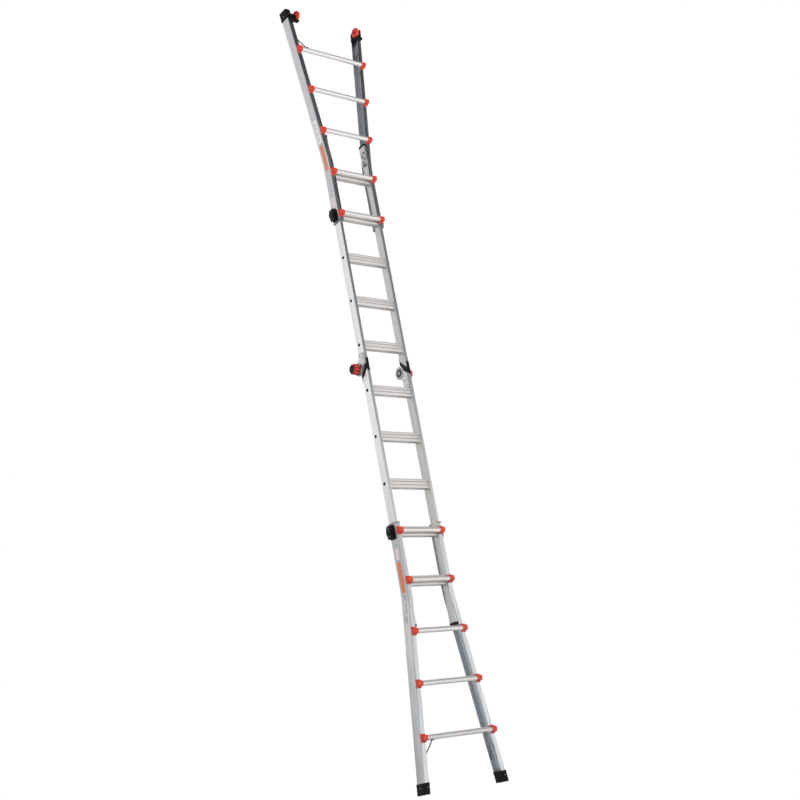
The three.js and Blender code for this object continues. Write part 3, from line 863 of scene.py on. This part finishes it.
OUT_X, IN_X, FRONT = (1, 0, 0), (-1, 0, 0), (0, -1, 0)
BOOT_RIVET_Z = 38
foot_x = OUTER_X + flare(BOOT_RIVET_Z)
boot_rivets = [((foot_x + 3.7, 0, BOOT_RIVET_Z), OUT_X), ((foot_x - 17, -38.7, BOOT_RIVET_Z), FRONT)]
brace_rivets = [((173.2 + flare(166), -8, 166), IN_X), ((200, -48, 286.5), (0, 0, -1))]
flange_rivets = [((OUTER_X - 20, -35.2, OUTER_END_Z - 14), FRONT)]
hinge_rivets = [((INNER_X, y, HINGE_Z - dz), OUT_X) for y, dz in ((-12, 62), (-12, 84), (10, 84), (-1, 73))]
inner_hinge_rivets = [((147, y, HINGE_Z - dz), IN_X) for y, dz in ((-14, 66), (-14, 100), (14, 66), (14, 100))]
for half in ("lower", "upper"):
    repeated(
        f"{half}_outer_rivets", RIVETS, {"Radius": 0.0042, "Height": 0.0016},
        both_sides(boot_rivets + brace_rivets + flange_rivets, half), "steel", f"{half}_outer",
    )
    repeated(
        f"{half}_hinge_rivets", RIVETS, {"Radius": 0.0038, "Height": 0.0011},
        both_sides(hinge_rivets, half), "steel", f"{half}_inner",
    )
repeated(
    "hinge_plate_rivets", RIVETS, {"Radius": 0.005, "Height": 0.0022},
    both_sides(inner_hinge_rivets, "lower"), "steel", "lower_inner",
)
arm_rivets = [((181, y, HINGE_Z - dz), OUT_X) for y, dz in ((-14, 60), (-14, 84), (12, 84))]
repeated(
    "hinge_arm_rivets", RIVETS, {"Radius": 0.005, "Height": 0.0022},
    both_sides(arm_rivets, "upper"), "steel", "upper_inner",
)

# Screws and thumb ribs on the rockers, lobes round the knobs
KNOB_LOBES = 9
LOBE_CIRCLE = 29.6
ROCKER_RIBS = (-36, -33, -16, -13, 13, 16, 33, 36)
for half in ("lower", "upper"):
    for side in SIDES:
        body = f"{half}_lock_rocker_{side}"
        screws = [((205.2, ROCKER_Y, LOCK_Z + dz), (1, 0, dz / 100)) for dz in (-26, 26)]
        repeated(f"{half}_rocker_screws_{side}", RIVETS, {"Radius": 0.0045, "Height": 0.0018},
                 quarter(screws, half, side), "steel", body)
        ribs = [((211.1 - 0.26 * abs(dz), ROCKER_Y, LOCK_Z + dz), (0, 1, 0)) for dz in ROCKER_RIBS]
        repeated(f"{half}_rocker_ribs_{side}", RIBS, {"Radius": 0.0011, "Length": 0.034},
                 quarter(ribs, half, side), "black_plastic", body)
for side in SIDES:
    lobes = []
    for i in range(KNOB_LOBES):
        a = math.tau * i / KNOB_LOBES
        lobes.append(((210, HINGE_Y + LOBE_CIRCLE * math.cos(a), HINGE_Z + LOBE_CIRCLE * math.sin(a)), OUT_X))
    repeated(f"knob_lobes_{side}", RIBS, {"Radius": 0.0062, "Length": 0.036},
             quarter(lobes, "lower", side), "red_plastic", f"hinge_knob_{side}")

# Grip ribs along the rungs: on the treads, and on the faces of the inner rungs between their grooves
tread_ribs = [(y, z) for y in (-12, -6, 0, 6, 12) for z in (-29.9, 29.9)]
face_ribs = [(y, z) for y in (-20.7, 20.7) for z in (-20, -16.5, -4, 0, 4, 16.5, 20)]
for half in ("lower", "upper"):
    for k in INNER_RUNGS:
        ribs = [((0, y, k * PITCH + z), (1, 0, 0)) for y, z in tread_ribs + face_ribs]
        repeated(f"{half}_inner_grip_{k - 3}", RIBS, {"Radius": 0.0009, "Length": 0.304},
                 quarter(ribs, half, "right"), "rung_aluminium", f"{half}_inner", GROOVED)
    for k in OUTER_RUNGS:
        reach = 2 * (OUTER_X - 36 + flare(k * PITCH)) * MM
        ribs = [((0, y, k * PITCH + 15), (1, 0, 0)) for y in (-49, -45, -41)]
        repeated(f"{half}_outer_grip_{k}", RIBS, {"Radius": 0.0007, "Length": reach},
                 quarter(ribs, half, "right"), "rung_aluminium", f"{half}_outer")

# ---------------------------------------------------------------- finishes on the frame's own pieces


def make_crease_tree():
    """Joins a node's loose triangles for shading only: smooth round curves, crisp at corners."""
    tree = bpy.data.node_groups.new("crisp_corners", "GeometryNodeTree")
    tree.interface.new_socket("Geometry", in_out="INPUT", socket_type="NodeSocketGeometry")
    tree.interface.new_socket("Geometry", in_out="OUTPUT", socket_type="NodeSocketGeometry")
    n = Nodes(tree)
    given, out = n.add("NodeGroupInput").outputs, n.add("NodeGroupOutput")
    welded = n.add("GeometryNodeMergeByDistance", {"Geometry": given[0], "Distance": 0.00002}).outputs[0]
    bend = n.add("GeometryNodeInputMeshEdgeAngle").outputs[0]
    crisp = n.add("FunctionNodeCompare", {0: bend, 1: math.radians(36)}, operation="GREATER_THAN").outputs[0]
    shaded = n.add("GeometryNodeSetMeshNormal", mode="SHARPNESS")
    tree.links.new(welded, shaded.inputs["Mesh"])
    shaded.inputs["Remove Custom"].default_value = True
    tree.links.new(crisp, shaded.inputs["Edge Sharpness"])
    shaded.inputs["Face Sharpness"].default_value = False
    tree.links.new(shaded.outputs[0], out.inputs[0])
    return tree


CREASES = make_crease_tree()
NODE_LOOKS = {
    "outer_rail": CHANNEL,
    "inner_rung": GROOVED,
    "hinge_knob": KNOB_PAINTED_SHADE,
    "hinge_upper_plate": HINGE_PLATE,
    "hinge_lower_plate": HINGE_PLATE,
    "wheel_axle": AXLE_PAINTED_SHADE,
}
slot_of = {row["node"]: row["material_slot"] for row in record["subparts"]}


def look_of(name):
    for word, look in NODE_LOOKS.items():
        if word in name:
            return look
    return LOOKS[slot_of[name]]


for name, obj in frame["nodes"].items():
    obj.data.materials.clear()
    obj.data.materials.append(look_of(name))
    modifier = obj.modifiers.new("crisp_corners", "NODES")
    modifier.node_group = CREASES

add_camera()
add_world()
add_fill()
add_floor()
bpy.context.scene.view_settings.view_transform = "Standard"
